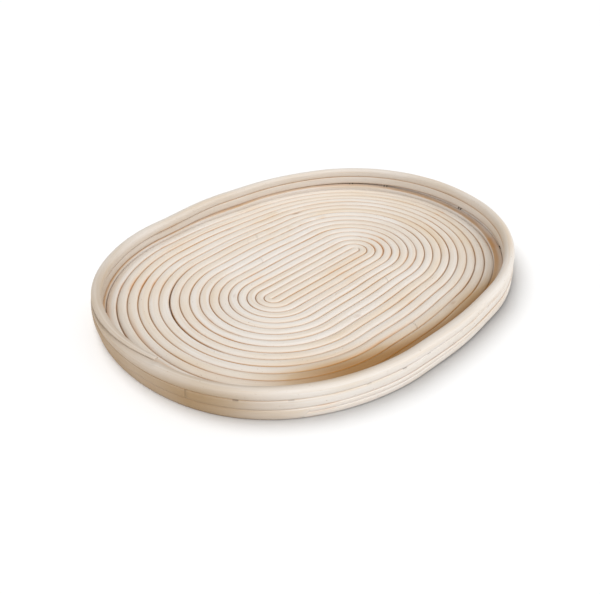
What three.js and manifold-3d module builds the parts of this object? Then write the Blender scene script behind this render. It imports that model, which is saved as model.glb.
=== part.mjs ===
// Oval banneton: a low proofing basket wound from peeled rattan cane and held with wire staples.
//
// Units are millimetres, +Z is up. The basket stands on z = 0 with the middle of its footprint on
// the origin and its long axis along X. The floor is one spiral around a straight core line; it
// starts at the right-hand end of that line and winds outward, anticlockwise seen from above. The
// spiral's last turn carries the wall, and two more turns are stacked on it. Canes meet end to end
// in slanted cuts, or run over one another in long laps where both are pared to half height.
import * as THREE from 'three';
import { mergeVertices } from 'three/addons/utils/BufferGeometryUtils.js';
import Module from 'manifold-3d';

// Coil
const PITCH = 9; // one strand of cane laid against the next
const GAP = 0.3; // clearance between neighbouring strands
const CORE_HALF = 59; // half the length of the straight core line
const FLOOR_TURNS = 17; // turn 0 is the core; the next turn after these carries the wall
const WALL_RADIUS = 159; // distance of the two upper turns from the core line
const SEAT = -PITCH / 4; // y of the upper turns' centre line: the spiral lies that far off centre
const OUTER_REACH = 18 * PITCH; // distance from the core line at which the unevenness is stated

// Hand-wound unevenness of the oval, as shares of OUTER_REACH
const SPREAD = 0.0375; // all round
const FAR_SIDE = 0.048; // wider on the +Y side, narrower on the -Y side
const LONG_SIDES = 0.0305; // wider along the long sides, tighter round the ends
const LEAN = 0.005; // the same, turned by an eighth of a turn
const EGG = 0.014; // fuller right end
const SQUARENESS = 0.01; // fuller and slimmer in turn, four times round
const SKEW = 0.01; // the same, turned by a sixteenth of a turn
const RIPPLE = -0.007; // and six times round

// Further unevenness that only the inner turns have; it dies out towards OUTER_REACH
const INNER_SPREAD = 0.028; // all round
const INNER_FAR_SIDE = 0.09; // wider on the +Y side
const INNER_EGG = 0.037; // fuller right end
const INNER_SKEW = 0.065; // fuller towards far right and near left
const INNER_CORNERS = 0.018; // three times round

// The turns nearest the core are squeezed together at its ends, so the core reaches further out
const RIGHT_STRETCH = { size: 3.6, fade: 13 };
const LEFT_STRETCH = { size: 7.3, fade: 25 };

// Heights
const FLOOR_HEIGHT = 9;
const BOTTOM_HEIGHT = 9.2; // the spiral's last turn
const SECOND_HEIGHT = 8.5;
const RIM_HEIGHT = 9;
const WALL_WIDTH = 9.2;
const LEAN_CENTRE = 0.225; // where round a turn the wall leans inward most, far left
const LEAN_REACH = 0.165; // how far round to both sides the lean dies out, in turns
const SECOND_LEAN = 3; // the second turn's shift inward there
const RIM_LEAN = 5; // and the rim's
const LIFT = 2; // half the height by which the wall's right end stands off the table
const LIFT_TWIST = 0.5; // more of it on the +Y side than on the -Y side
const SWELL = 1.8; // extra height of the bottom turn round the right end
const SWELL_REACH = (75 * Math.PI) / 180; // half angle over which it swells
const CLIMB_START = 16.6; // where the floor starts to climb to the height of the bottom turn

// Ends of the canes, counted in turns
const FLOOR_JOINTS = [6.165, 6.7, 10.1, 13.6, 16.62]; // slanted butt joints of the floor's canes
const SECOND_JOINT = 0.405;
const LAP_START = 17.448; // the bottom turn's lap: upper part over lower part
const LAP_END = 17.8542; // on a regular station, so that the lower part rises past the tip
const BOTTOM_END = 18.25; // the bottom turn's last quarter is a wedge that dies out under the wall
const WEDGE_TIP = 1.5; // width left at the wedge's tip
const RIM_LAP_START = 0.3; // the rim's lap: last end over first end
const RIM_LAP_END = 0.385;
const SCARF = 9; // length of a slanted cut in the wall
const FLOOR_SCARF = 4; // and in the floor
const STEP = 2.5; // length over which a cane is notched to the height of its lap
const LAP_THICKNESS = 4.3; // of the bottom turn's upper part where the lap begins
const PARED_TIP = 1.3; // thickness left at a pared end
const RIM_BULGE = 3.4; // how far the rim's last end stands inward of the turn below
const RIM_TIP_WIDTH = 4; // width left at its tip, on the inner side

// Regular stations on each straight and on each half round of a turn
const FLOOR_STEPS = [3, 12, 3, 12];
const WALL_STEPS = [4, 18, 4, 18];
const END_CLEARANCE = 0.006; // regular stations this close to a cane's end are left out, in turns
const EASE = 0.012; // a cane is thinned this many turns before the lap it runs over begins

// Section of a cane, as shares of its width and height
const FLAT = 0.28;
const CHEEK = 0.22;

// Staples
const WIRE = 0.9;
const CROWN = 4.4;
const LEG = 12;
const SLOT_CLEARANCE = 0.2;
const SLOT_MOUTH = 4; // how far the slot's cutter reaches out past the crown
const WALL_STAPLES = [
  0.04, 0.09, 0.15, 0.21, 0.27, 0.36, 0.423, 0.443, 0.473, 0.49, 0.518,
  0.56, 0.61, 0.66, 0.71, 0.76, 0.81, 0.86, 0.912, 0.933, 0.991,
];
const RIM_STAPLES = [0.103, 0.126, 0.19, 0.254, 0.44, 0.54, 0.64, 0.74, 0.81, 0.865, 0.901];
const FLOOR_STAPLES = [3.1, 4.6, 7.1, 8.6, 11.1, 12.6, 14.1, 15.6];
const WALL_STAPLE = { sideways: 3.2, drop: 1.2, lean: (35 * Math.PI) / 180 };
const RIM_STAPLE = { sideways: 4.2, drop: 5.6, lean: (35 * Math.PI) / 180 };
const FLOOR_STAPLE = { sideways: 3.8, drop: 4.5, lean: Math.PI / 2 };

const CANE_COLOURS = [0xe8d9c4, 0xe5d5bd, 0xeadcc9, 0xe3d2b8, 0xe7dac7];
const STAPLE_COLOUR = 0x8c8a86;

const wasm = await Module();
wasm.setup();

// ---------- plan of the coil ----------

// The four legs of a turn, in order: far straight, left round, near straight, right round.
// Each is given by the y of its centre and its distance from that centre.
function spiralTurn(turn) {
  return [
    { centre: 0, radius: turn * PITCH },
    { centre: -PITCH / 2, radius: (turn + 0.5) * PITCH },
    { centre: 0, radius: (turn + 1) * PITCH },
    { centre: 0, radius: (turn + 1) * PITCH },
  ];
}

function ringTurn() {
  return [0, 1, 2, 3].map(() => ({ centre: SEAT, radius: WALL_RADIUS }));
}

const SPIRAL = { steps: FLOOR_STEPS, legs: spiralTurn, lean: 0 };
const SECOND = { steps: WALL_STEPS, legs: ringTurn, lean: SECOND_LEAN };
const RIM = { steps: WALL_STEPS, legs: ringTurn, lean: RIM_LEAN };

// Point on one leg of a turn, `outward` mm outside the strand's middle, before the unevenness.
function pointOnLeg(leg, { centre, radius }, share, outward) {
  const side = leg === 0 || leg === 3 ? 1 : -1;
  const reach = radius + outward;
  if (leg % 2 === 0) {
    return [side * CORE_HALF * (1 - 2 * share), centre + side * reach];
  }
  const angle = Math.PI * (leg / 2 + share);
  return [side * CORE_HALF + reach * Math.cos(angle), centre + reach * Math.sin(angle)];
}

// Moves a point of the ideal racetrack to where the hand-wound coil has it.
function bow([x, y]) {
  const across = y - SEAT;
  const angle = Math.atan2(across, x);
  const distance = Math.hypot(Math.max(Math.abs(x) - CORE_HALF, 0), across);
  const reach = distance / OUTER_REACH;
  const outer = SPREAD + FAR_SIDE * Math.sin(angle)
    - LONG_SIDES * Math.cos(2 * angle) + LEAN * Math.sin(2 * angle)
    + EGG * Math.cos(3 * angle) + SQUARENESS * Math.cos(4 * angle)
    + SKEW * Math.sin(4 * angle) + RIPPLE * Math.cos(6 * angle);
  const inner = INNER_SPREAD + INNER_FAR_SIDE * Math.sin(angle) + INNER_EGG * Math.cos(angle)
    + INNER_SKEW * Math.sin(2 * angle) + INNER_CORNERS * Math.sin(3 * angle);
  const scale = 1 + (outer + inner * (1 - reach)) * reach;
  const { size, fade } = x > 0 ? RIGHT_STRETCH : LEFT_STRETCH;
  const endness = THREE.MathUtils.clamp(x / CORE_HALF, -1, 1);
  const stretch = endness * size * Math.exp(-distance / fade);
  return [x * scale + stretch, SEAT + across * scale];
}

// Where a track is at a given number of turns: which leg, its shape, how far along it. Before its
// start a track carries straight on backwards.
function locate(track, at) {
  const turn = Math.max(Math.floor(at), 0);
  const quarters = (at - turn) * 4;
  const leg = THREE.MathUtils.clamp(Math.floor(quarters), 0, 3);
  const shape = track.legs(turn)[leg];
  const length = leg % 2 === 0 ? 2 * CORE_HALF : Math.PI * shape.radius;
  return { leg, shape, share: quarters - leg, turnsPerMm: 0.25 / length };
}

// Shift inward of a leaning track, at a share of one of its legs.
function leanAt(track, leg, share) {
  const away = Math.abs((leg + share) / 4 - LEAN_CENTRE) / LEAN_REACH;
  return track.lean * Math.cos((Math.PI / 2) * Math.min(1, away)) ** 2;
}

// Point of a track in plan. Between its regular stations a strand is straight.
function planPoint(track, at, outward) {
  const { leg, shape, share } = locate(track, at);
  const steps = track.steps[leg];
  const before = THREE.MathUtils.clamp(Math.floor(share * steps + 1e-9), 0, steps - 1);
  const part = share * steps - before;
  const [a, b] = [before / steps, (before + 1) / steps].map((stop) => (
    bow(pointOnLeg(leg, shape, stop, outward - leanAt(track, leg, stop)))));
  return [a[0] + part * (b[0] - a[0]), a[1] + part * (b[1] - a[1])];
}

// ---------- heights ----------

// Height of the bottom turn's underside above the table.
function lift(track, at) {
  const { leg, shape, share } = locate(track, at);
  const [x, y] = pointOnLeg(leg, shape, share, 0);
  const angle = Math.atan2(y - SEAT, x);
  return Math.max(0, LIFT * (1 + Math.cos(angle)) + LIFT_TWIST * Math.sin(angle));
}

// Extra height of the bottom turn round the right end.
function swell(track, at) {
  const { leg, shape, share } = locate(track, at);
  const [x, y] = pointOnLeg(leg, shape, share, 0);
  const angle = Math.atan2(y - SEAT, x);
  return SWELL * Math.cos((Math.PI / 2) * Math.min(1, Math.abs(angle) / SWELL_REACH)) ** 2;
}

const ramp = (value, from, to) => THREE.MathUtils.clamp((value - from) / (to - from), 0, 1);

function floorBand(at) {
  const low = THREE.MathUtils.smoothstep(at, CLIMB_START, FLOOR_TURNS) * lift(SPIRAL, at);
  return [low, low + FLOOR_HEIGHT];
}

function bottomBand(at) {
  if (at < FLOOR_TURNS) {
    return floorBand(at);
  }
  const low = lift(SPIRAL, at);
  return [low, low + BOTTOM_HEIGHT + swell(SPIRAL, at)];
}

function secondBand(at) {
  const low = lift(SECOND, at) + BOTTOM_HEIGHT + swell(SECOND, at) + GAP;
  return [low, low + SECOND_HEIGHT];
}

function rimBand(at) {
  const low = secondBand(at)[1] + GAP;
  return [low, low + RIM_HEIGHT];
}

// Underside of the upper part in the bottom turn's lap.
function lapLine(at) {
  const thickness = THREE.MathUtils.lerp(LAP_THICKNESS, PARED_TIP, ramp(at, LAP_START, LAP_END));
  return bottomBand(at)[1] - thickness;
}

// Top of the first end in the rim's lap.
function rimLapLine(at) {
  const [low, high] = rimBand(at);
  const share = ramp(at, RIM_LAP_START, RIM_LAP_END);
  return THREE.MathUtils.lerp(low + PARED_TIP, high - PARED_TIP - GAP, share);
}

// ---------- canes ----------

function caneSection() {
  const corners = [
    [-FLAT, -0.5], [FLAT, -0.5], [0.5, -CHEEK], [0.5, CHEEK],
    [FLAT, 0.5], [-FLAT, 0.5], [-0.5, CHEEK], [-0.5, -CHEEK],
  ];
  return new THREE.Shape(corners.map(([x, y]) => new THREE.Vector2(x, y)));
}

// Regular stations of a track between two ends, with the ends themselves.
function stationsBetween(track, from, to) {
  const regular = [];
  for (let turn = Math.floor(from); turn <= to; turn += 1) {
    track.steps.forEach((steps, leg) => {
      for (let step = 0; step < steps; step += 1) {
        regular.push(turn + (leg + step / steps) / 4);
      }
    });
  }
  const inside = regular.filter((at) => at > from + END_CLEARANCE && at < to - END_CLEARANCE);
  return [from, ...inside, to].map((at) => ({ at }));
}

// Sweeps the cane's section through a list of stations. A station says where along the track it is
// and what its band of heights is; it may also give a width, a shift outward, a slanted cut and a
// small advance along the strand, all in mm.
function sweepCane(track, stations) {
  const spans = stations.length - 1;
  const geometry = new THREE.ExtrudeGeometry(caneSection(), {
    depth: spans,
    steps: spans,
    bevelEnabled: false,
  });
  const position = geometry.getAttribute('position');
  for (let i = 0; i < position.count; i += 1) {
    const inward = position.getX(i);
    const stop = stations[Math.round(position.getZ(i))];
    const { at, band, width = PITCH - GAP, outward = 0, slant = 0, advance = 0 } = stop;
    const ahead = (slant * inward + advance) * locate(track, at).turnsPerMm;
    const [x, y] = planPoint(track, at + ahead, outward - inward * width);
    const [low, high] = band;
    position.setXYZ(i, x, y, low + (position.getY(i) + 0.5) * (high - low));
  }
  return geometry;
}

// Length of cane in the floor, from one slanted joint to the next.
function floorCane(from, to) {
  const stations = stationsBetween(SPIRAL, from, to);
  stations.forEach((stop) => { stop.band = floorBand(stop.at); });
  Object.assign(stations[0], { slant: FLOOR_SCARF, advance: GAP });
  Object.assign(stations.at(-1), { slant: FLOOR_SCARF, advance: -GAP });
  return stations;
}

// The core's first end, rounded to lie inside the first right-hand turn.
function roundedTip(stations) {
  const radius = (PITCH - GAP) / 2;
  const tip = [80, 55, 28].map((degrees) => {
    const angle = (degrees * Math.PI) / 180;
    return {
      at: 0,
      band: floorBand(0),
      width: 2 * radius * Math.cos(angle),
      advance: -radius * Math.sin(angle),
    };
  });
  Object.assign(stations[0], { slant: 0, advance: 0 });
  return [...tip, ...stations];
}

function bottomCaneFirst() {
  const stations = stationsBetween(SPIRAL, FLOOR_JOINTS.at(-1), LAP_END);
  const notch = { at: LAP_START, band: bottomBand(LAP_START), slant: SCARF, advance: -STEP };
  const lap = stations.filter((stop) => stop.at > LAP_START + END_CLEARANCE);
  const full = stations.filter((stop) => stop.at < LAP_START - END_CLEARANCE);
  full.forEach((stop) => { stop.band = bottomBand(stop.at); });
  lap.forEach((stop) => { stop.band = [lapLine(stop.at), bottomBand(stop.at)[1]]; });
  const thinned = [lapLine(LAP_START), bottomBand(LAP_START)[1]];
  Object.assign(full[0], { slant: FLOOR_SCARF, advance: GAP });
  return [...full, notch, { at: LAP_START, band: thinned, slant: SCARF }, ...lap];
}

function bottomCaneSecond() {
  const stations = stationsBetween(SPIRAL, LAP_START, BOTTOM_END);
  stations.forEach((stop) => {
    const [low, high] = bottomBand(stop.at);
    const lapped = stop.at < LAP_END + END_CLEARANCE;
    const wedge = ramp(stop.at, FLOOR_TURNS + 1, BOTTOM_END);
    stop.band = [low, lapped ? lapLine(stop.at) - GAP : high];
    stop.width = THREE.MathUtils.lerp(PITCH - GAP, WEDGE_TIP, wedge);
    stop.outward = (stop.width - (PITCH - GAP)) / 2;
  });
  Object.assign(stations[0], { slant: SCARF, advance: GAP });
  return stations;
}

function secondCane() {
  const stations = stationsBetween(SECOND, SECOND_JOINT, SECOND_JOINT + 1);
  stations.forEach((stop) => Object.assign(stop, { band: secondBand(stop.at), width: WALL_WIDTH }));
  Object.assign(stations[0], { slant: SCARF, advance: GAP });
  Object.assign(stations.at(-1), { slant: SCARF, advance: -GAP });
  return stations;
}

function rimCane() {
  const stations = stationsBetween(RIM, RIM_LAP_START, RIM_LAP_END + 1);
  stations.forEach((stop) => {
    const [low, high] = rimBand(stop.at);
    const overlaid = stop.at < RIM_LAP_END + END_CLEARANCE;
    const overlying = stop.at > RIM_LAP_START + 1 - EASE;
    const from = overlying ? rimLapLine(stop.at - 1) + GAP : low;
    const share = ramp(stop.at, RIM_LAP_START + 1, RIM_LAP_END + 1);
    stop.band = [from, overlaid ? rimLapLine(stop.at) : high];
    stop.width = THREE.MathUtils.lerp(WALL_WIDTH, RIM_TIP_WIDTH, share ** 2);
    stop.outward = (stop.width - WALL_WIDTH) / 2 - RIM_BULGE * share ** 2;
  });
  return stations;
}

// ---------- staples ----------

// Outline of a staple, legs down, crown on y = 0; slack widens it and mouth opens it upward.
function stapleOutline(slack, mouth) {
  const outer = CROWN / 2 + slack;
  const inner = CROWN / 2 - WIRE - slack;
  const corners = [
    [-outer, -LEG - slack], [-inner, -LEG - slack], [-inner, -WIRE - slack],
    [inner, -WIRE - slack], [inner, -LEG - slack], [outer, -LEG - slack],
    [outer, mouth], [-outer, mouth],
  ];
  return new THREE.Shape(corners.map(([x, y]) => new THREE.Vector2(x, y)));
}

// Where a staple sits: its crown lies along the strand, its legs point down and lean inward.
function staplePlace(track, at, top, { sideways, drop, lean }) {
  const [x, y] = planPoint(track, at, sideways);
  const [innerX, innerY] = planPoint(track, at, sideways - 1);
  const outward = new THREE.Vector3(x - innerX, y - innerY, 0).normalize();
  const up = new THREE.Vector3(0, 0, Math.cos(lean)).addScaledVector(outward, Math.sin(lean));
  const along = new THREE.Vector3(0, 0, 1).cross(outward);
  const face = new THREE.Vector3().crossVectors(along, up);
  return new THREE.Matrix4().makeBasis(along, up, face).setPosition(x, y, top - drop);
}

function stapleGeometry(place, slack = 0, mouth = 0) {
  const depth = WIRE + 2 * slack;
  const geometry = new THREE.ExtrudeGeometry(stapleOutline(slack, mouth), {
    depth,
    bevelEnabled: false,
  });
  return geometry.translate(0, 0, -depth / 2).applyMatrix4(place);
}

// ---------- solids ----------

function toSolid(geometry) {
  const bare = geometry.clone();
  bare.deleteAttribute('normal');
  bare.deleteAttribute('uv');
  const welded = mergeVertices(bare);
  return new wasm.Manifold(new wasm.Mesh({
    numProp: 3,
    vertProperties: new Float32Array(welded.getAttribute('position').array),
    triVerts: new Uint32Array(welded.getIndex().array),
  }));
}

function toGeometry(solid) {
  const { vertProperties, triVerts } = solid.getMesh();
  const geometry = new THREE.BufferGeometry();
  geometry.setAttribute('position', new THREE.BufferAttribute(new Float32Array(vertProperties), 3));
  geometry.setIndex([...triVerts]);
  geometry.computeVertexNormals();
  return geometry;
}

// Cuts a slot for every staple into a cane.
function slotted(geometry, places) {
  let solid = toSolid(geometry);
  places.forEach((place) => {
    solid = solid.subtract(toSolid(stapleGeometry(place, SLOT_CLEARANCE, SLOT_MOUTH)));
  });
  return toGeometry(solid);
}

function named(name, geometry, material) {
  const mesh = new THREE.Mesh(geometry, material);
  mesh.name = name;
  return mesh;
}

// ---------- assembly ----------

function caneMaterial(index) {
  const color = CANE_COLOURS[index % CANE_COLOURS.length];
  return new THREE.MeshStandardMaterial({ color, roughness: 0.62, metalness: 0 });
}

function floorCanes(places) {
  return FLOOR_JOINTS.map((to, index) => {
    const stations = floorCane(FLOOR_JOINTS[index - 1] ?? 0, to);
    const name = index === 0 ? 'floor_cane_1_core' : `floor_cane_${index + 1}`;
    const swept = sweepCane(SPIRAL, index === 0 ? roundedTip(stations) : stations);
    return named(name, slotted(swept, places), caneMaterial(index));
  });
}

function wallCanes(wallPlaces, rimPlaces) {
  const bottomFirst = slotted(sweepCane(SPIRAL, bottomCaneFirst()), wallPlaces);
  const bottomSecond = slotted(sweepCane(SPIRAL, bottomCaneSecond()), wallPlaces);
  const second = slotted(sweepCane(SECOND, secondCane()), [...wallPlaces, ...rimPlaces]);
  const rim = slotted(sweepCane(RIM, rimCane()), rimPlaces);
  return [
    named('bottom_turn_cane_1', bottomFirst, caneMaterial(0)),
    named('bottom_turn_cane_2', bottomSecond, caneMaterial(1)),
    named('second_turn_cane', second, caneMaterial(2)),
    named('rim_cane', rim, caneMaterial(4)),
  ];
}

function staples(kind, places) {
  const material = new THREE.MeshStandardMaterial({
    color: STAPLE_COLOUR,
    roughness: 0.4,
    metalness: 0.9,
  });
  return places.map((place, index) => {
    const number = String(index + 1).padStart(2, '0');
    return named(`${kind}_staple_${number}`, stapleGeometry(place), material);
  });
}

function banneton() {
  const floorPlaces = FLOOR_STAPLES.map((at) => (
    staplePlace(SPIRAL, at, FLOOR_HEIGHT, FLOOR_STAPLE)));
  const wallPlaces = WALL_STAPLES.map((at) => (
    staplePlace(SECOND, at, secondBand(at)[1], WALL_STAPLE)));
  const rimPlaces = RIM_STAPLES.map((at) => (
    staplePlace(RIM, at, rimBand(at)[1], RIM_STAPLE)));
  const basket = new THREE.Group();
  basket.name = 'banneton';
  basket.add(
    ...floorCanes(floorPlaces),
    ...wallCanes(wallPlaces, rimPlaces),
    ...staples('floor', floorPlaces),
    ...staples('wall', wallPlaces),
    ...staples('rim', rimPlaces),
  );
  return basket;
}

// Puts the middle of the footprint on the origin and the lowest point on z = 0.
function centred(group) {
  const box = new THREE.Box3().setFromObject(group);
  const middle = box.getCenter(new THREE.Vector3());
  group.children.forEach((mesh) => mesh.geometry.translate(-middle.x, -middle.y, -box.min.z));
  return group;
}

export default centred(banneton());
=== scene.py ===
"""Oval banneton of peeled rattan cane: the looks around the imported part.

Lengths are in millimetres until a mesh is made; Blender objects are in metres. The plan of the coil
and the heights of its turns are the part's own, drawn here with round-shouldered cane.
"""

import math

import bmesh
import bpy
import numpy as np
from mathutils import Matrix, Vector


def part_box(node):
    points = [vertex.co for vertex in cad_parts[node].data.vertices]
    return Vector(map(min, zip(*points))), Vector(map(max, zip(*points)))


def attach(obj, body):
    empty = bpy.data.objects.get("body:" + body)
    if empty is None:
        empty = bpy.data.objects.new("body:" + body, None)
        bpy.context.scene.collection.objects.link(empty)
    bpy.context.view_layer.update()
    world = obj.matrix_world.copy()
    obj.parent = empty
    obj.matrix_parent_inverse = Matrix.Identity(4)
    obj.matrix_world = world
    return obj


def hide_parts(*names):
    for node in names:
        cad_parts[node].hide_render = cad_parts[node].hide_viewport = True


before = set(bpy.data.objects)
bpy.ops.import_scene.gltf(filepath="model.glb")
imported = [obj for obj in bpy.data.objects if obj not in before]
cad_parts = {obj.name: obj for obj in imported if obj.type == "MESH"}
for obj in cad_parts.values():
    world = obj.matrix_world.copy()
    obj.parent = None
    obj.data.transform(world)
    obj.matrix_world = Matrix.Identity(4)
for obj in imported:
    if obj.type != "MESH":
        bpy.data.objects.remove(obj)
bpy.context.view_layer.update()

MM = 0.001
ROOT = "root"

# Coil, as in the part
PITCH = 9.0
CORE_HALF = 59.0
FLOOR_TURNS = 17
WALL_RADIUS = 159.0
SEAT = -PITCH / 4
OUTER_REACH = (FLOOR_TURNS + 1) * PITCH
RING_STATIONS = [4, 18, 4, 18]  # steps on each leg of an upper turn

# Unevenness of the oval, as in the part: how much wider it is, by bearing
SPREAD = 0.0375
FAR_SIDE = 0.048
LONG_SIDES = 0.0305
LEAN = 0.005
EGG = 0.014
SQUARENESS = 0.01
SKEW = 0.01
RIPPLE = -0.007
INNER_SPREAD = 0.028
INNER_FAR_SIDE = 0.09
INNER_EGG = 0.037
INNER_SKEW = 0.065
INNER_CORNERS = 0.018

# How far the core's ends are pushed out, and the distance over which that dies out
RIGHT_STRETCH = (3.6, 13.0)
LEFT_STRETCH = (7.3, 25.0)

# Heights, as in the part
FLOOR_HEIGHT = 9.0
BOTTOM_HEIGHT = 9.2
SECOND_HEIGHT = 8.5
RIM_HEIGHT = 9.0
WALL_WIDTH = 9.2
LEAN_CENTRE = 0.225
LEAN_REACH = 0.165
SECOND_LEAN = 3.0
RIM_LEAN = 5.0
GAP = 0.3
LIFT = 2.0
LIFT_TWIST = 0.5
SWELL = 1.8
SWELL_REACH = math.radians(75)
CLIMB_START = 16.6

# Ends of the canes, as in the part
FLOOR_JOINTS = [6.165, 6.7, 10.1, 13.6, 16.62]
SECOND_JOINT = 0.405
LAP_START = 17.448
LAP_END = 17.8542
BOTTOM_END = 18.25
WEDGE_TIP = 1.5
RIM_LAP_START = 0.3
RIM_LAP_END = 0.385
EASE = 0.012
SCARF = 9.0
FLOOR_SCARF = 4.0
STEP = 2.5
LAP_THICKNESS = 4.3
PARED_TIP = 1.3
RIM_BULGE = 3.4
RIM_TIP_WIDTH = 4.0

# How finely the canes are drawn
STATION_SPACING = 2.6
SECTION_POINTS = 24
TRACK_STEPS = 4000  # for measuring along a track
TIP_STATIONS = 11  # in the rounded end of the core

# Sections and ends of the canes
FLOOR_SHOULDER = 2.6  # superellipse power of a floor cane's section
STACK_SHOULDER = 3.8  # of a wall cane's, where it lies against the next turn
RIM_SHOULDER = 2.3  # and of the rim's free upper side
BUTT = 0.12  # how far the canes' cut ends press into each other
FLOOR_PRESS = 1.16  # how much wider the section would be if its neighbours didn't flatten its sides
WALL_PRESS = 1.3  # and how much higher a wall cane's
TOUCH = 0.04  # clearance left on each side of a floor cane, and between wall canes
FLOOR_WIDTH = PITCH - 2 * TOUCH
TIP_LEAST = 0.6  # width at the very tip of the core's first end
CUT_REACH = 14.0  # length over which the slant of a cut end dies out
LAP_RISE = 6.0  # length over which a cane comes up to its full height past a lap

# Floor seams that stand open: the place in turns, its reach in turns, and how wide it opens
OPEN_SEAMS = [(10.33, 0.075, 0.9), (15.35, 0.05, 0.35), (16.34, 0.05, 0.4), (10.8, 0.06, 0.4),
              (13.77, 0.05, 0.35)]

# Waviness of a cane: wavelength and size of each random line, all dying out towards its ends
WIDTH_WAVES = [(34, 0.07), (11, 0.03)]
SIDEWAYS_WAVES = [(26, 0.06)]
CROWN_WAVES = [(40, 0.09), (13, 0.03)]
END_REACH = 16.0

# The tone of each turn
TONE_SEED = 5
TONES = 40
TONE_BLEND = 31  # stations over which one turn's tone passes into the next, an odd number

# The painted shade and stain in the seams between the wall's turns are lighter outside: where round the
# section, and by how much
OUTER_SIDE = (-0.2, 0.3)
OUTER_SEAM_EASING = 0.1

# Where the near wall's shadow is painted in brown on the floor: the wall's inner edge, moved away from the
# wall
WALL_EDGE = (216.0, 158.0)  # half length and half width of the floor at the foot of the wall
SHADOW_OFFSET = (27.8, 25.9)
SHADOW_BAND = (0.91, 1.1)  # where the painted shadow begins and is full, as a share of that edge
DEEP_SHADOW_BAND = (1.01, 1.11)  # and its deeper part
SHADOW_HEADING = math.radians(-100)
SHADOW_FADE = (0.5, 0.9)  # cosine of the angle off the heading where it begins and is full

# Where the wall is browner: its outside at the left end, partly dirt and partly painted shade deepest
# low down; its top round the left half; and its inside all round but most at the left, as painted shade
DIRT_AND_SHADE_HEADING = math.radians(178)
DIRT_AND_SHADE_FADE = (0.7, 0.95)
DARKER_LEFT_HEADING = math.radians(-165)
DARKER_LEFT_FADE = (-0.1, 0.7)
INSIDE_AND_TOP_SHARE = 0.5
INSIDE_SHADE_LEAST = 0.35

# Where each face of a section, -1..1 round it, begins and is full
INNER_FACE = (-0.5, 0.2)
OUTER_FACE = (-0.2, 0.4)
TOP_FACE = (0.2, 0.9)
OUTSIDE_HEIGHTS = (14, 30)  # heights over which the browning of the outside, partly painted shade, weakens
OUTSIDE_LOSS = 0.6
TOP_HEIGHTS = (24, 30)  # and over which that of the top begins

# Torn places above the staple crowns, as places round the second turn and how badly torn
TORN = [(0.423, 1.0), (0.443, 0.35), (0.473, 0.3), (0.49, 0.7), (0.518, 0.5), (0.61, 0.3), (0.71, 0.4),
        (0.81, 0.3), (0.09, 0.4), (0.21, 0.3)]
TORN_HALF = 1.8  # half length of a torn place
TORN_EDGE = 0.7  # length over which it fades out
TORN_DEPTH = 1.1
TORN_OUTWARD = (0.3, 0.7)  # where round the section the torn corner begins and is full
TORN_UPWARD = (0.74, 0.92)

# Blotches on the floor canes: place in turns, distance outward of the strand's middle, half length,
# half width, strength
KNOTS = [(10.985, 0.8, 5.0, 1.4, 0.7), (4.31, -1.0, 3.0, 1.0, 0.4), (13.12, 1.5, 4.0, 1.2, 0.4),
         (8.55, 2.0, 3.0, 1.0, 0.35), (14.71, -1.0, 3.5, 1.2, 0.5)]
STAINS = [(15.385, 2.6, 22.0, 2.2, 0.9), (16.33, 3.0, 30.0, 2.0, 0.7), (15.43, 0.0, 45.0, 4.0, 0.45),
          (14.43, -2.0, 60.0, 3.0, 0.3), (12.51, 3.8, 45.0, 1.2, 0.55), (15.82, 3.6, 30.0, 1.4, 0.5),
          (14.35, 3.6, 30.0, 1.4, 0.5), (16.80, 3.0, 30.0, 1.6, 0.5)]

# Colours, as display values 0..255
FLOOR_PALE = (219, 213, 206)
FLOOR_WARM = (214, 198, 177)
# Painted shade in the grooves between strands
FLOOR_GROOVE_SHADE = (174, 116, 30)
# Painted shadow of the near wall on the floor
FLOOR_SHADOW = (178, 146, 102)
WALL_PALE = (219, 214, 209)
WALL_WARM = (211, 201, 187)
WALL_GROOVE_SHADE = (176, 124, 50)
# Dirt and painted shade on the wall
WALL_DIRT_AND_SHADE = (150, 120, 78)
FIBRE = (206, 189, 168)
VEIN = (208, 184, 154)
PORE = (150, 116, 80)
# Deeper painted shadow and shade, where the shade attribute passes 1
DEEP_SHADOW = (148, 104, 48)
STAIN = (196, 136, 66)
KNOT = (150, 104, 62)
# Torn wood, partly painted shade in the torn slot
TORN_WOOD_AND_SHADE = (62, 36, 18)
WIRE = (120, 112, 100)
TARNISH = (70, 56, 44)

# Studio floor, in metres
STAGE_HALF = 3.0
STAGE_DROP = 0.00005

# Camera: angles in radians, lengths in millimetres
CAMERA_AZIMUTH = -2.3856
CAMERA_ELEVATION = 0.5565
CAMERA_ROLL = -0.0089
CAMERA_DISTANCE = 72.849 * PITCH
CAMERA_TARGET = (-5.180 * PITCH, -2.460 * PITCH, 0.92 * PITCH)
CAMERA_LENS = 41.81
SENSOR_WIDTH = 36.0

# Suns: how far to the camera's right and towards the camera they stand, elevation and spread in
# degrees, share of the light on a level surface, and whether they light only the studio floor
# (INCLUDE) or all but it (EXCLUDE)
SUNS = {
    "key": (1.0, 0.45, 40, 48, 0.41, "EXCLUDE"),
    "fill": (-0.8, 0.8, 36, 60, 0.23, "EXCLUDE"),
    "backdrop": (-0.9, -0.8, 62, 44, 0.56, "INCLUDE"),
}
SUN_DISTANCE = 2  # in metres

# Sky: its strength on the left and on the right, and how far that slope turns to the camera
SKY_LEFT = 0.58
SKY_RIGHT = 0.5
SKY_TURN = 0.2


# ---------- plan of the coil ----------

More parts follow.
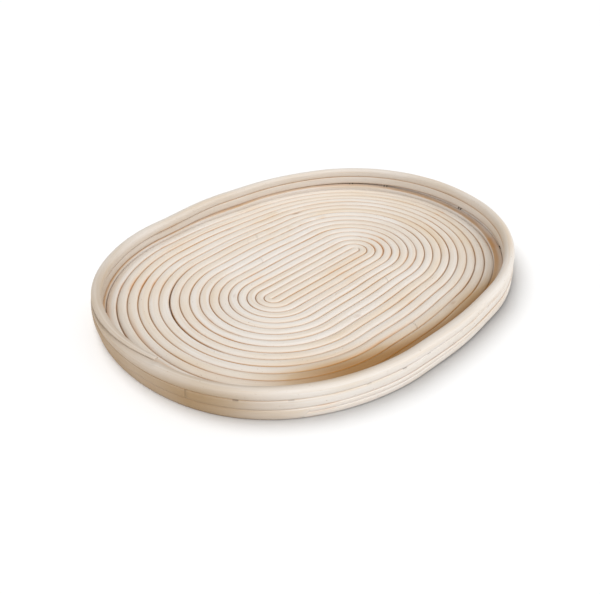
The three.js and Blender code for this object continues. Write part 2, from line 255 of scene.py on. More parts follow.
def bow(x, y):
    """Moves points of the ideal racetrack to where the hand-wound coil has them."""
    across = y - SEAT
    angle = np.arctan2(across, x)
    distance = np.hypot(np.maximum(np.abs(x) - CORE_HALF, 0), across)
    reach = distance / OUTER_REACH
    outer = (SPREAD + FAR_SIDE * np.sin(angle)
             - LONG_SIDES * np.cos(2 * angle) + LEAN * np.sin(2 * angle)
             + EGG * np.cos(3 * angle) + SQUARENESS * np.cos(4 * angle)
             + SKEW * np.sin(4 * angle) + RIPPLE * np.cos(6 * angle))
    inner = (INNER_SPREAD + INNER_FAR_SIDE * np.sin(angle) + INNER_EGG * np.cos(angle)
             + INNER_SKEW * np.sin(2 * angle) + INNER_CORNERS * np.sin(3 * angle))
    scale = 1 + (outer + inner * (1 - reach)) * reach
    size = np.where(x > 0, RIGHT_STRETCH[0], LEFT_STRETCH[0])
    fade = np.where(x > 0, RIGHT_STRETCH[1], LEFT_STRETCH[1])
    stretch = np.clip(x / CORE_HALF, -1, 1) * size * np.exp(-distance / fade)
    return x * scale + stretch, SEAT + across * scale


def spiral_shape(turn, leg):
    """Centre y and radius of a leg of the spiral: far straight, left round, near straight, right round."""
    centre = np.where(leg == 1, -PITCH / 2, 0.0)
    radius = PITCH * (turn + np.choose(leg, [0.0, 0.5, 1.0, 1.0]))
    return centre, radius


def ring_shape(turn, leg):
    """Centre y and radius of a leg of one of the two upper turns."""
    return np.full(np.shape(leg), SEAT), np.full(np.shape(leg), WALL_RADIUS)


def raw_point(shape, at, outward):
    """Points of a track before the unevenness."""
    at = np.asarray(at, float)
    turn = np.maximum(np.floor(at), 0)
    quarters = (at - turn) * 4
    leg = np.clip(np.floor(quarters).astype(int), 0, 3)
    share = quarters - leg
    centre, radius = shape(turn, leg)
    reach = radius + outward
    side = np.where((leg == 0) | (leg == 3), 1.0, -1.0)
    angle = np.pi * (leg / 2 + share)
    straight = leg % 2 == 0
    x = np.where(straight, side * CORE_HALF * (1 - 2 * share), side * CORE_HALF + reach * np.cos(angle))
    y = centre + np.where(straight, side * reach, reach * np.sin(angle))
    return x, y


def turns_per_mm(shape, at):
    """How much of a turn one millimetre along the strand is."""
    at = np.asarray(at, float)
    turn = np.maximum(np.floor(at), 0)
    leg = np.clip(np.floor((at - turn) * 4).astype(int), 0, 3)
    radius = shape(turn, leg)[1]
    return 0.25 / np.where(leg % 2 == 0, 2 * CORE_HALF, np.pi * np.maximum(radius, PITCH / 4))


def lean_share(at):
    """How much of its greatest lean inward the wall has."""
    away = np.abs(at - np.floor(at) - LEAN_CENTRE) / LEAN_REACH
    return np.cos(np.pi / 2 * np.minimum(1, away)) ** 2


def ring_corner():
    """Lowest x and y of the second turn's outside at the part's own stations."""
    at = np.array([(leg + step / n) / 4 for leg, n in enumerate(RING_STATIONS) for step in range(n)])
    x, y = bow(*raw_point(ring_shape, at, WALL_WIDTH / 2 - SECOND_LEAN * lean_share(at)))
    return x.min(), y.min()


CAD_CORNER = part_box("second_turn_cane")[0]
SHIFT = np.array([c / MM - r for c, r in zip(CAD_CORNER[:2], ring_corner())])


def plan(shape, at, outward):
    """Points of a track in the row frame, in millimetres."""
    x, y = bow(*raw_point(shape, at, outward))
    return x + SHIFT[0], y + SHIFT[1]


# ---------- heights ----------

def bearing(shape, at):
    """Direction of a place on a track from the middle of the oval."""
    x, y = raw_point(shape, at, 0.0)
    return np.arctan2(y - SEAT, x)


def lift(shape, at):
    """How far the wall stands off the table: nothing at the left, most at the right."""
    angle = bearing(shape, at)
    return np.maximum(0, LIFT * (1 + np.cos(angle)) + LIFT_TWIST * np.sin(angle))


def swell(shape, at):
    """How much thicker the bottom turn is at the right."""
    share = np.minimum(1, np.abs(bearing(shape, at)) / SWELL_REACH)
    return SWELL * np.cos(np.pi / 2 * share) ** 2


def ramp(value, start, end):
    """0 up to start, 1 from end on, and straight between."""
    return np.clip((value - start) / (end - start), 0, 1)


def smooth(value, start, end):
    """The same, easing in and out."""
    share = ramp(value, start, end)
    return share * share * (3 - 2 * share)


def floor_band(at):
    """Lowest and highest z of the floor canes; the last stretch climbs to the wall."""
    low = smooth(at, CLIMB_START, FLOOR_TURNS) * lift(spiral_shape, at)
    return low, low + FLOOR_HEIGHT


def bottom_band(at):
    """Lowest and highest z of the bottom turn."""
    low = lift(spiral_shape, at)
    floor_low, floor_high = floor_band(at)
    high = low + BOTTOM_HEIGHT + GAP + swell(spiral_shape, at)
    blend = smooth(at, FLOOR_TURNS - 0.1, FLOOR_TURNS)
    return floor_low + blend * (low - floor_low), floor_high + blend * (high - floor_high)


def second_band(at):
    """Lowest and highest z of the second turn."""
    low = lift(ring_shape, at) + BOTTOM_HEIGHT + swell(ring_shape, at) + GAP
    return low, low + SECOND_HEIGHT + GAP


def rim_band(at):
    """Lowest and highest z of the rim."""
    low = second_band(at)[1]
    return low, low + RIM_HEIGHT


def lap_line(at):
    """Height at which the bottom turn's two canes meet in their lap."""
    thickness = LAP_THICKNESS + (PARED_TIP - LAP_THICKNESS) * ramp(at, LAP_START, LAP_END)
    return bottom_band(at)[1] - thickness


def rim_lap_line(at):
    """Height at which the rim's two ends meet in their lap."""
    low, high = rim_band(at)
    share = ramp(at, RIM_LAP_START, RIM_LAP_END)
    return low + PARED_TIP + share * (high - low - 2 * PARED_TIP)


# ---------- sweeping a cane ----------

def wander(length, wavelength, size, rng):
    """A smooth random line of that length in mm, one value per station spacing."""
    knots = max(4, int(length / wavelength) + 4)
    values = rng.normal(0, size, knots)
    at = np.linspace(0, knots - 3.001, max(2, int(length / STATION_SPACING) + 2)) + 1
    low = np.floor(at).astype(int)
    t = at - low
    a, b, c, d = (values[low + i - 1] for i in range(4))
    return 0.5 * ((2 * b) + (c - a) * t + (2 * a - 5 * b + 4 * c - d) * t ** 2
                  + (3 * b - a - 3 * c + d) * t ** 3)


def run_length(shape, at):
    """Distance along a track from the first of the places to each of them."""
    middle = (at[1:] + at[:-1]) / 2
    return np.concatenate([[0], np.cumsum(np.diff(at) / turns_per_mm(shape, middle))])


def stations(shape, start, end):
    """Evenly spaced places along a track, pressed a little into the canes at both ends."""
    press = BUTT / 2 * float(turns_per_mm(shape, end))
    fine = np.linspace(start - (press if start > 0 else 0), end + press, TRACK_STEPS)
    run = run_length(shape, fine)
    count = max(3, int(run[-1] / STATION_SPACING))
    return np.interp(np.linspace(0, run[-1], count + 1), run, fine)


def torn_stations(shape, at):
    """Adds stations at the edges of the torn places."""
    edges = [-TORN_HALF - TORN_EDGE, -TORN_HALF, TORN_HALF, TORN_HALF + TORN_EDGE]
    extra = [place + turn + edge * float(turns_per_mm(shape, place))
             for place, _ in TORN for turn in (0, 1) for edge in edges]
    extra = [value for value in extra if at[0] < value < at[-1]]
    return np.sort(np.concatenate([at, extra]))


def torn(shape, at):
    """How badly the cane is torn at each station."""
    depth = np.zeros(len(at))
    for place, strength in TORN:
        away = np.abs(at - np.round(at - place) - place) / turns_per_mm(shape, at)
        depth = np.maximum(depth, strength * (1 - smooth(away, TORN_HALF, TORN_HALF + TORN_EDGE)))
    return depth


def superellipse(power):
    """A round-shouldered section, -0.5..0.5 both ways: u is inward, v is up."""
    t = np.linspace(0, 2 * np.pi, SECTION_POINTS, endpoint=False) + np.pi / SECTION_POINTS
    c, s = np.cos(t), np.sin(t)
    return np.sign(c) * np.abs(c) ** (2 / power) / 2, np.sign(s) * np.abs(s) ** (2 / power) / 2


def floor_section(at):
    """Flattened where it lies against its neighbours on both sides."""
    u, v = superellipse(FLOOR_SHOULDER)
    return np.clip(u * FLOOR_PRESS, -0.5, 0.5), v


def stack_section(at):
    """Flattened above and below."""
    u, v = superellipse(STACK_SHOULDER)
    return u, np.clip(v * WALL_PRESS, -0.5, 0.5)


def rim_section(at):
    """Flattened below only, but on both sides where the rim's own last end lies on it."""
    flat_u, flat_v = stack_section(at)
    u, v = superellipse(RIM_SHOULDER)
    flat = np.maximum(v < 0, 1 - smooth(at, RIM_LAP_END - EASE, RIM_LAP_END + EASE)[:, None])
    return u + flat * (flat_u - u), v + flat * (flat_v - v)


def end_slant(along, length, start_cut, end_cut):
    """How much each station is sheared along the strand for slanted ends."""
    near = start_cut * np.clip(1 - along / CUT_REACH, 0, 1)
    return near + end_cut * np.clip(1 - (length - along) / CUT_REACH, 0, 1)


def floor_crease(u, v):
    """Closeness to the neighbouring strands on both sides."""
    return np.abs(2 * u)


def seam_strength(u):
    """1 inside and a little less outside, where the seams carry less painted shade and stain."""
    return 1 - OUTER_SEAM_EASING * smooth(-2 * u, *OUTER_SIDE)


def stack_crease(u, v):
    """Closeness to the turns above and below."""
    return np.abs(2 * v) * seam_strength(u)


def rim_crease(u, v):
    """Closeness to the turn below."""
    return np.clip(-2 * v, 0, 1) * seam_strength(u)


def blotches(shape, at, across, places):
    """Soft elongated spots on a strand."""
    amount = np.zeros(across.shape)
    for place, outward, half_length, half_width, strength in places:
        ahead = (at - place) / turns_per_mm(shape, at) / half_length
        amount += strength * np.exp(-ahead[:, None] ** 2 - ((across - outward) / half_width) ** 2)
    return amount


def tube(count):
    """Faces of a closed tube of that many sections, its two ends last."""
    ring = np.arange(SECTION_POINTS)
    after = (ring + 1) % SECTION_POINTS
    rows = np.arange(count - 1)[:, None] * SECTION_POINTS
    quads = np.stack([rows + ring, rows + after, rows + SECTION_POINTS + after,
                      rows + SECTION_POINTS + ring], -1).reshape(-1, 4)
    ends = [list(range(SECTION_POINTS))[::-1],
            [(count - 1) * SECTION_POINTS + i for i in range(SECTION_POINTS)]]
    return quads.tolist() + ends


def tone(shape, at):
    """A random tone for each turn, 0..1, passing softly from one turn into the next."""
    turn = np.floor(at if shape is spiral_shape else np.full(len(at), at[0]))
    tones = np.random.default_rng(TONE_SEED).uniform(0, 1, TONES)
    kernel = np.ones(TONE_BLEND) / TONE_BLEND
    sharp = tones[np.maximum(turn, 0).astype(int)]
    return np.convolve(np.pad(sharp, TONE_BLEND // 2, mode="edge"), kernel, "valid")


def around_grain(u, v):
    """Distance round a section that carries the grain."""
    return PITCH * np.cumsum(np.hypot(np.diff(u, append=u[0]), np.diff(v, append=v[0])))


def sweep(name, shape, at, low, high, width, outward=0.0, cuts=(0.0, 0.0), outline=floor_section,
          crease=floor_crease, stapled=False):
    """Makes a closed cane along a track, with its own slight waviness, and returns the object.

    A stapled cane has its upper outer edge torn above the staples.
    """
    along = run_length(shape, at)
    length = along[-1]
    count = len(at)
    rng = np.random.default_rng(sum(ord(c) for c in name))
    fade = np.clip(np.minimum(along, length - along) / END_REACH, 0, 1)

    def wavy(value, waves):
        """The value with its random lines added."""
        for wavelength, size in waves:
            values = wander(length, wavelength, size, rng)
            value = value + fade * np.interp(along, np.linspace(0, length, len(values)), values)
        return value

    width = wavy(width, WIDTH_WAVES)
    sideways = wavy(outward, SIDEWAYS_WAVES)
    crown = wavy(0.0, CROWN_WAVES)
    u, v = (np.broadcast_to(part, (count, SECTION_POINTS)) for part in outline(at))
    slant = end_slant(along, length, *cuts)
    ahead = slant[:, None] * u * turns_per_mm(shape, at)[:, None]
    across = sideways[:, None] - u * width[:, None]
    none = np.zeros(across.shape)
    corner = smooth(-2 * u, *TORN_OUTWARD) * smooth(2 * v, *TORN_UPWARD)
    tear = torn(shape, at)[:, None] * corner if stapled else none
    x, y = plan(shape, at[:, None] + ahead, across - TORN_DEPTH * tear)
    height = high - low
    z = low[:, None] + (v + 0.5) * height[:, None] + np.clip(v, 0, None) * 2 * crown[:, None]
    points = np.stack([x, y, z], -1).reshape(-1, 3) * MM
    faces = tube(count)
    mesh = bpy.data.meshes.new(name)
    mesh.from_pydata(points.tolist(), [], faces)
    on_floor = outline is floor_section
    store(mesh, "along", np.repeat(along_grain(shape, at, along), SECTION_POINTS) * MM)
    store(mesh, "around", np.tile(around_grain(u[count // 2], v[count // 2]), count) * MM)
    store(mesh, "crease", crease(u, v).ravel())
    store(mesh, "shade", shading(points / MM, shape, on_floor, -2 * u.ravel(), 2 * v.ravel()))
    store(mesh, "torn", tear.ravel())
    store(mesh, "knot", (blotches(shape, at, across, KNOTS) if on_floor else none).ravel())
    store(mesh, "stain", (blotches(shape, at, across, STAINS) if on_floor else none).ravel())
    store(mesh, "strand", np.repeat(tone(shape, at), SECTION_POINTS))
    mesh.polygons.foreach_set("use_smooth", [True] * (len(faces) - 2) + [False, False])
    mesh.update()
    recalc(mesh)
    obj = bpy.data.objects.new(name, mesh)
    bpy.context.scene.collection.objects.link(obj)
    return obj


def along_grain(shape, at, along):
    """Distance that carries the grain, so that it runs on across the joints between canes."""
    if shape is ring_shape:
        return along[-1] / 2 - np.abs(along - along[-1] / 2)
    fine = np.linspace(0, max(at[0], 0), TRACK_STEPS)
    middle = (fine[1:] + fine[:-1]) / 2
    return along + np.sum(np.diff(fine) / turns_per_mm(shape, middle))


def shading(points, shape, on_floor, outward, upward):
    """How far the cane is browned, by painted shadow and shade and by some dirt; above 1 it is a deeper
    brown.

    The floor, and the inside of the bottom turn, carry the near wall's painted shadow. The wall is browner
    on the outside of its left end, partly dirt and partly painted shade deepest low down; browner on its
    top round the left half; and has painted shade on its inside all round but most at the left. outward and
    upward are the place round the section, -1..1.
    """
    x, y = points[:, 0] - SHIFT[0], points[:, 1] - SHIFT[1] - SEAT
    height = points[:, 2]
    angle = np.arctan2(y, x)
    inside = smooth(-outward, *INNER_FACE)
    painted_shadow = 0.0
    # Painted shadow of the near wall, cast away from it across the floor
    if shape is spiral_shape:
        reach = np.hypot((x - SHADOW_OFFSET[0]) / WALL_EDGE[0], (y - SHADOW_OFFSET[1]) / WALL_EDGE[1])
        painted_shadow = smooth(reach, *SHADOW_BAND) + smooth(reach, *DEEP_SHADOW_BAND)
        painted_shadow = painted_shadow * smooth(np.cos(angle - SHADOW_HEADING), *SHADOW_FADE)
    if on_floor:
        return painted_shadow
    # Outside at the left end: partly dirt, partly painted shade deepest low down; inside: painted shade
    outside = smooth(outward, *OUTER_FACE) * (1 - smooth(height, *OUTSIDE_HEIGHTS) * OUTSIDE_LOSS)
    top = smooth(upward, *TOP_FACE) * smooth(height, *TOP_HEIGHTS)
    left = smooth(np.cos(angle - DARKER_LEFT_HEADING), *DARKER_LEFT_FADE)
    inner_or_top = np.maximum(inside * np.maximum(left, INSIDE_SHADE_LEAST), top * left)
    wall_dirt_and_shade = np.maximum(outside * smooth(np.cos(angle - DIRT_AND_SHADE_HEADING), *DIRT_AND_SHADE_FADE),
                       INSIDE_AND_TOP_SHARE * inner_or_top)
    return np.maximum(wall_dirt_and_shade, painted_shadow * inside)


def store(mesh, name, values):
    """Keeps one number for each point, for the material."""
    mesh.attributes.new(name, "FLOAT", "POINT").data.foreach_set("value", np.asarray(values, np.float32))


def recalc(mesh):
    """Faces outward."""
    work = bmesh.new()
    work.from_mesh(mesh)
    bmesh.ops.recalc_face_normals(work, faces=work.faces)
    work.to_mesh(mesh)
    work.free()


# ---------- the canes ----------

def tip_width(ahead):
    """Width of the core, whose first end is rounded in plan; ahead is in mm from the core line's end."""
    back = np.clip(-ahead / (PITCH / 2), 0, 1)
    return np.maximum(FLOOR_WIDTH * np.sqrt(1 - back ** 2), TIP_LEAST)


def seam_pinch(at):
    """How much narrower the strand is where the seam on its outer side stands open."""
    pinch = np.zeros(len(at))
    for centre, reach, width in OPEN_SEAMS:
        pinch += width * np.clip(1 - ((at - centre) / reach) ** 2, 0, 1)
    return pinch


def floor_canes():
    """The lengths of cane of the floor's spiral."""
    made = []
    start = 0.0
    for number, end in enumerate(FLOOR_JOINTS, 1):
        at = stations(spiral_shape, start, end)
        low, high = floor_band(at)
        width = np.full(len(at), FLOOR_WIDTH)
        cuts = (0.0 if number == 1 else FLOOR_SCARF, FLOOR_SCARF)
        name = "floor_cane_1_core" if number == 1 else f"floor_cane_{number}"
        if number == 1:
            tip = np.linspace(-PITCH / 2, 0, TIP_STATIONS + 1)[:-1]
            at = np.concatenate([tip * turns_per_mm(spiral_shape, 0.0), at])
            width = tip_width(at / turns_per_mm(spiral_shape, 0.0))
            low, high = floor_band(at)
        pinch = seam_pinch(at)
        cane = sweep("cane_" + name, spiral_shape, at, low, high, width - pinch, -pinch / 2, cuts)
        made.append((cane, name, "floor_cane"))
        start = end
    return made


def bottom_canes():
    """The two canes of the bottom turn, one pared over the other in a long lap."""
    at = stations(spiral_shape, FLOOR_JOINTS[-1], LAP_END)
    low, high = bottom_band(at)
    notch = STEP * float(turns_per_mm(spiral_shape, LAP_START))
    share = smooth(at, LAP_START - notch, LAP_START)
    low = low + share * (lap_line(at) - low)
    first = sweep("cane_bottom_turn_1", spiral_shape, at, low, high,
                  np.full(len(at), FLOOR_WIDTH), cuts=(FLOOR_SCARF, 0.0),
                  outline=stack_section, crease=stack_crease)
    at = stations(spiral_shape, LAP_START, BOTTOM_END)
    low, high = bottom_band(at)
    rise = LAP_RISE * float(turns_per_mm(spiral_shape, LAP_END))
    share = smooth(at, LAP_END, LAP_END + rise)
    top = lap_line(at) - TOUCH
    top = top + share * (high - top)
    width = FLOOR_WIDTH + (WEDGE_TIP - PITCH) * ramp(at, FLOOR_TURNS + 1, BOTTOM_END)
    second = sweep("cane_bottom_turn_2", spiral_shape, at, low, top, width,
                   outward=(width - PITCH) / 2, cuts=(SCARF, 0.0),
                   outline=stack_section, crease=stack_crease)
    return [(first, "bottom_turn_cane_1", "wall_cane"), (second, "bottom_turn_cane_2", "wall_cane")]


def second_cane():
    """The second turn of the wall."""
    at = torn_stations(ring_shape, stations(ring_shape, SECOND_JOINT, SECOND_JOINT + 1))
    low, high = second_band(at)
    cane = sweep("cane_second_turn", ring_shape, at, low, high - TOUCH,
                 np.full(len(at), WALL_WIDTH), -SECOND_LEAN * lean_share(at), cuts=(SCARF, SCARF),
                 outline=stack_section, crease=stack_crease, stapled=True)
    return [(cane, "second_turn_cane", "wall_cane")]


def rim_cane():
    """The rim, whose last end runs up over its first."""
    at = stations(ring_shape, RIM_LAP_START, RIM_LAP_END + 1)
    low, high = rim_band(at)
    line = rim_lap_line(at)
    over = rim_lap_line(at - 1)
    rise = LAP_RISE * float(turns_per_mm(ring_shape, RIM_LAP_START))
    top = line + smooth(at, RIM_LAP_END, RIM_LAP_END + rise) * (high - line)
    bottom = low + smooth(at, RIM_LAP_START + 1 - EASE, RIM_LAP_START + 1) * (over - low)
    share = ramp(at, RIM_LAP_START + 1, RIM_LAP_END + 1) ** 2
    width = WALL_WIDTH + share * (RIM_TIP_WIDTH - WALL_WIDTH)
    outward = (width - WALL_WIDTH) / 2 - RIM_BULGE * share - RIM_LEAN * lean_share(at)
    cane = sweep("cane_rim", ring_shape, at, bottom + TOUCH, top, width, outward,
                 outline=rim_section, crease=rim_crease)
    return [(cane, "rim_cane", "wall_cane")]


# ---------- materials ----------

class Nodes:
    """A small helper that builds shader nodes and links them."""

    def __init__(self, name):
        self.material = bpy.data.materials.new(name)
        self.material.use_nodes = True
        self.tree = self.material.node_tree
        self.tree.nodes.clear()

    def feed(self, socket, value):
        """Links another node's output to an input, or sets its value."""
        if isinstance(value, bpy.types.NodeSocket):
            self.tree.links.new(value, socket)
        else:
            socket.default_value = value

    def add(self, kind, inputs=None, **settings):
        node = self.tree.nodes.new(kind)
        for key, value in settings.items():
            setattr(node, key, value)
        for key, value in (inputs or {}).items():
            self.feed(node.inputs[key], value)
        return node

    def math(self, operation, *values, clamp=False):
        node = self.add("ShaderNodeMath", operation=operation, use_clamp=clamp)
        for i, value in enumerate(values):
            self.feed(node.inputs[i], value)
        return node.outputs[0]

    def attribute(self, name):
        return self.add("ShaderNodeAttribute", attribute_name=name).outputs["Fac"]

    def vector(self, x, y, z):
        node = self.add("ShaderNodeCombineXYZ")
        for i, value in enumerate((x, y, z)):
            self.feed(node.inputs[i], value)
        return node.outputs[0]

    def noise(self, vector, scale, detail=2.0, roughness=0.5):
        return self.add("ShaderNodeTexNoise",
                        {"Vector": vector, "Scale": scale, "Detail": detail, "Roughness": roughness}
                        ).outputs["Fac"]

    def ramp(self, value, low, high, to_low=0.0, to_high=1.0):
        node = self.add("ShaderNodeMapRange", {
            "Value": value, "From Min": low, "From Max": high, "To Min": to_low, "To Max": to_high})
        return node.outputs["Result"]

    def mix(self, factor, a, b, blend="MIX"):
        node = self.add("ShaderNodeMix", data_type="RGBA", blend_type=blend)
        for index, value in ((0, factor), (6, a), (7, b)):
            self.feed(node.inputs[index], value)
        return node.outputs[2]


def srgb(red, green, blue):
    """A colour given as 0..255 display values, as linear RGBA."""
    def linear(value):
        value /= 255
        return value / 12.92 if value <= 0.04045 else ((value + 0.055) / 1.055) ** 2.4
    return (linear(red), linear(green), linear(blue), 1.0)


def cane_material(name, pale, warm, groove_shade, groove_share, dirt_and_shade_colour, seed):
    """Peeled rattan: pale, slightly fibrous, warmer in patches, and browner down in the grooves with
    painted shade and stains.
    """
    n = Nodes(name)
    along, around = n.attribute("along"), n.attribute("around")
    crease, strand, shade = n.attribute("crease"), n.attribute("strand"), n.attribute("shade")
    place = n.add("ShaderNodeTexCoord").outputs["Object"]

    def streak(along_scale, around_scale, offset, detail=2.0):
        vector = n.vector(n.math("MULTIPLY", along, along_scale), n.math("MULTIPLY", around, around_scale),
                          n.math("ADD", n.math("MULTIPLY", strand, 7.0), seed + offset))
        return n.noise(vector, 1.0, detail, 0.55)

    fibre = streak(30.0, 1100.0, 0.0, 3.0)
    vein = streak(7.0, 260.0, 2.0)
    pore = n.ramp(streak(420.0, 1500.0, 3.0, 1.0), 0.74, 0.8)
    patch = streak(13.0, 60.0, 4.0)
    broad = n.noise(place, 9.0, 2.0, 0.5)
    warmth = n.math("ADD", n.ramp(patch, 0.45, 0.75, 0.0, 0.6),
                    n.ramp(broad, 0.48, 0.75, 0.0, 0.4), clamp=True)
    warmth = n.math("ADD", warmth, n.ramp(strand, 0.0, 1.0, -0.15, 0.25), clamp=True)
    colour = n.mix(warmth, pale, warm)
    colour = n.mix(n.ramp(fibre, 0.35, 0.75, 0.0, 0.35), colour, srgb(*FIBRE))
    colour = n.mix(n.ramp(vein, 0.52, 0.74, 0.0, 0.45), colour, srgb(*VEIN))
    colour = n.mix(n.math("MULTIPLY", pore, 0.75), colour, srgb(*PORE))
    # Painted shadow and shade, with some dirt on the wall, brown the colour where the shade attribute says
    dirt_and_shade_mix = n.math("MULTIPLY", n.math("MINIMUM", shade, 1.0), n.ramp(broad, 0.35, 0.65, 0.6, 0.95))
    colour = n.mix(dirt_and_shade_mix, colour, dirt_and_shade_colour)
    # Deeper painted shadow at the foot of the near wall
    colour = n.mix(n.ramp(shade, 0.9, 2.0, 0.0, 0.85), colour, srgb(*DEEP_SHADOW))
    # Painted shade darkens and browns the grooves, more in some places than others
    line = n.ramp(streak(9.0, 0.0, 5.0), 0.32, 0.68, 0.35, 1.0)
    groove_shade_mix = n.math("MULTIPLY", n.math("MULTIPLY", n.ramp(crease, 0.8, 0.99), line), groove_share, clamp=True)
    colour = n.mix(groove_shade_mix, colour, groove_shade)
    stained = n.ramp(n.noise(place, 17.0, 3.0, 0.6), 0.6, 0.72)
    stain = n.math("MULTIPLY", n.math("MULTIPLY", stained, n.ramp(crease, 0.55, 1.0)), groove_share)
    stain = n.math("ADD", stain, n.math("MULTIPLY", n.attribute("stain"), n.ramp(vein, 0.3, 0.6, 0.5, 1.0)))
    colour = n.mix(n.math("MULTIPLY", stain, 0.7, clamp=True), colour, srgb(*STAIN))
    knot = n.math("MULTIPLY", n.attribute("knot"), n.ramp(fibre, 0.35, 0.6, 0.5, 1.3), clamp=True)
    colour = n.mix(knot, colour, srgb(*KNOT))
    # Torn places are coloured dark: partly torn wood, partly painted shade in the slot
    torn_and_shade = n.math("MULTIPLY", n.attribute("torn"), n.ramp(fibre, 0.3, 0.6, 0.8, 1.5), clamp=True)
    colour = n.mix(torn_and_shade, colour, srgb(*TORN_WOOD_AND_SHADE))
    bump_height = n.math("ADD", n.math("MULTIPLY", fibre, 0.5), n.math("MULTIPLY", pore, -0.6))
    bump = n.add("ShaderNodeBump", {"Height": bump_height, "Strength": 0.35, "Distance": 0.00012})
    shader = n.add("ShaderNodeBsdfPrincipled", {
        "Base Color": colour, "Roughness": n.ramp(fibre, 0.2, 0.8, 0.48, 0.66),
        "Specular IOR Level": 0.35, "Normal": bump.outputs["Normal"]})
    n.add("ShaderNodeOutputMaterial", {"Surface": shader.outputs["BSDF"]})
    return n.material


def staple_material():
    """Dull steel wire, darker in spots."""
    n = Nodes("staple_wire")
    place = n.add("ShaderNodeTexCoord").outputs["Object"]
    spots = n.noise(place, 1400.0, 3.0, 0.6)
    colour = n.mix(n.ramp(spots, 0.4, 0.7), srgb(*WIRE), srgb(*TARNISH))
    shader = n.add("ShaderNodeBsdfPrincipled", {
        "Base Color": colour, "Metallic": 0.8, "Roughness": n.ramp(spots, 0.3, 0.7, 0.35, 0.6)})
    n.add("ShaderNodeOutputMaterial", {"Surface": shader.outputs["BSDF"]})
    return n.material


def floor_material():
    """Plain pale studio floor."""
    n = Nodes("studio_floor")
    place = n.add("ShaderNodeTexCoord").outputs["Object"]
    shade = n.mix(n.noise(place, 1.5, 1.0, 0.4), (0.93, 0.93, 0.93, 1), (0.95, 0.95, 0.95, 1))
    shader = n.add("ShaderNodeBsdfPrincipled", {
        "Base Color": shade, "Roughness": 0.9, "Specular IOR Level": 0.0})
    n.add("ShaderNodeOutputMaterial", {"Surface": shader.outputs["BSDF"]})
    return n.material


# ---------- stage ----------

def studio_floor():
    """The surface the basket stands on."""
    mesh = bpy.data.meshes.new("studio_floor")
    corners = [(-1, -1), (1, -1), (1, 1), (-1, 1)]
    mesh.from_pydata([(x * STAGE_HALF, y * STAGE_HALF, 0) for x, y in corners], [], [(0, 1, 2, 3)])
    floor = bpy.data.objects.new("studio_floor", mesh)
    floor.data.materials.append(floor_material())
    floor.location.z = -STAGE_DROP
    bpy.context.scene.collection.objects.link(floor)
    return floor


def camera_axes():
    """Directions to the camera's right, up and back."""
    ca, sa = math.cos(CAMERA_AZIMUTH), math.sin(CAMERA_AZIMUTH)
    ce, se = math.cos(CAMERA_ELEVATION), math.sin(CAMERA_ELEVATION)
    back = Vector((ca * ce, sa * ce, se))
    right = Vector((-sa, ca, 0))
    up = back.cross(right)
    cr, sr = math.cos(CAMERA_ROLL), math.sin(CAMERA_ROLL)
    return cr * right + sr * up, cr * up - sr * right, back


def camera():
    """Makes the scene's camera."""
    right, up, back = camera_axes()
    target = Vector((CAMERA_TARGET[0] + SHIFT[0], CAMERA_TARGET[1] + SHIFT[1], CAMERA_TARGET[2]))
    data = bpy.data.cameras.new("camera")
    data.lens = CAMERA_LENS
    data.sensor_width = SENSOR_WIDTH
    data.clip_start = 0.01
    obj = bpy.data.objects.new("camera", data)
    turn = Matrix((right, up, back)).transposed().to_4x4()
    turn.translation = (target + back * CAMERA_DISTANCE) * MM
    obj.matrix_world = turn
    bpy.context.scene.collection.objects.link(obj)
    bpy.context.scene.camera = obj


def soft_sun(name, heading, elevation, spread, share):
    """A distant soft light; share is how much it adds to the brightness of a level white surface."""
    data = bpy.data.lights.new(name, "SUN")
    data.angle = math.radians(spread)
    data.energy = share * math.pi / math.sin(math.radians(elevation))
    obj = bpy.data.objects.new(name, data)
    height = Vector((0, 0, math.tan(math.radians(elevation))))
    towards = heading.normalized() + height
    obj.rotation_euler = towards.to_track_quat("Z", "Y").to_euler()
    obj.location = towards.normalized() * SUN_DISTANCE
    bpy.context.scene.collection.objects.link(obj)
    return obj


def light_only(light, floor, state):
    """Makes a light fall on the studio floor only (INCLUDE) or on everything but it (EXCLUDE)."""
    group = bpy.data.collections.new("lit_by_" + light.name)
    group.objects.link(floor)
    light.light_linking.receiver_collection = group
    group.collection_objects[0].light_linking.link_state = state


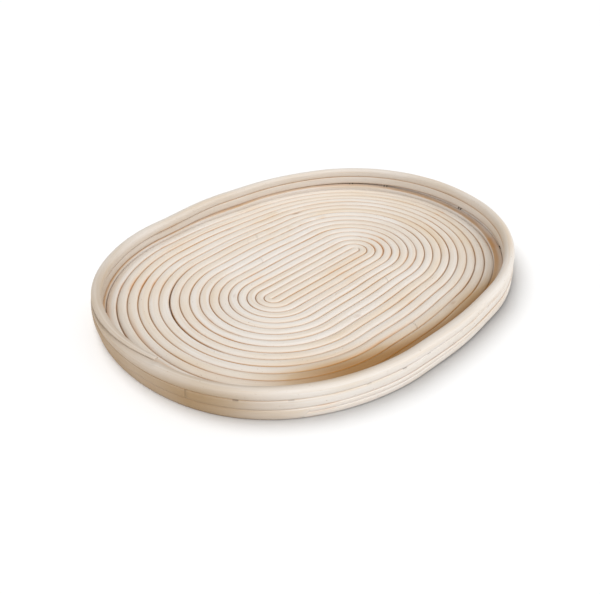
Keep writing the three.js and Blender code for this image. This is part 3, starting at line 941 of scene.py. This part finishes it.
def lights(floor):
    """The suns and the sky."""
    right, _, back = camera_axes()
    front = Vector((back.x, back.y, 0)).normalized()
    side = Vector((right.x, right.y, 0)).normalized()
    for name, (rightward, frontward, elevation, spread, share, state) in SUNS.items():
        sun = soft_sun(name, side * rightward + front * frontward, elevation, spread, share)
        light_only(sun, floor, state)
    world = bpy.data.worlds.new("studio")
    world.use_nodes = True
    tree = world.node_tree
    background = tree.nodes["Background"]
    place = tree.nodes.new("ShaderNodeTexCoord")
    slope = tree.nodes.new("ShaderNodeVectorMath")
    slope.operation = "DOT_PRODUCT"
    slope.inputs[1].default_value = side + front * SKY_TURN
    strength = tree.nodes.new("ShaderNodeMapRange")
    strength.inputs["From Min"].default_value = -1
    strength.inputs["From Max"].default_value = 1
    strength.inputs["To Min"].default_value = SKY_LEFT
    strength.inputs["To Max"].default_value = SKY_RIGHT
    tree.links.new(place.outputs["Generated"], slope.inputs[0])
    tree.links.new(slope.outputs["Value"], strength.inputs["Value"])
    tree.links.new(strength.outputs["Result"], background.inputs["Strength"])
    background.inputs["Color"].default_value = (1, 1, 1, 1)
    bpy.context.scene.world = world
    bpy.context.scene.view_settings.view_transform = "Standard"


def build():
    """Makes the canes, gives them their places in the frame, and colours the staples."""
    floor_look = cane_material("cane_floor", srgb(*FLOOR_PALE), srgb(*FLOOR_WARM), srgb(*FLOOR_GROOVE_SHADE),
                               1.0, srgb(*FLOOR_SHADOW), 2.0)
    wall_look = cane_material("cane_wall", srgb(*WALL_PALE), srgb(*WALL_WARM), srgb(*WALL_GROOVE_SHADE),
                              0.8, srgb(*WALL_DIRT_AND_SHADE), 9.0)
    looks = {"floor_cane": floor_look, "wall_cane": wall_look}
    for cane, node, slot in floor_canes() + bottom_canes() + second_cane() + rim_cane():
        cane.data.materials.append(looks[slot])
        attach(cane, ROOT)
        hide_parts(node)
    wire = staple_material()
    for name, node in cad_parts.items():
        if "staple" in name:
            node.data.materials.clear()
            node.data.materials.append(wire)


build()
camera()
lights(studio_floor())
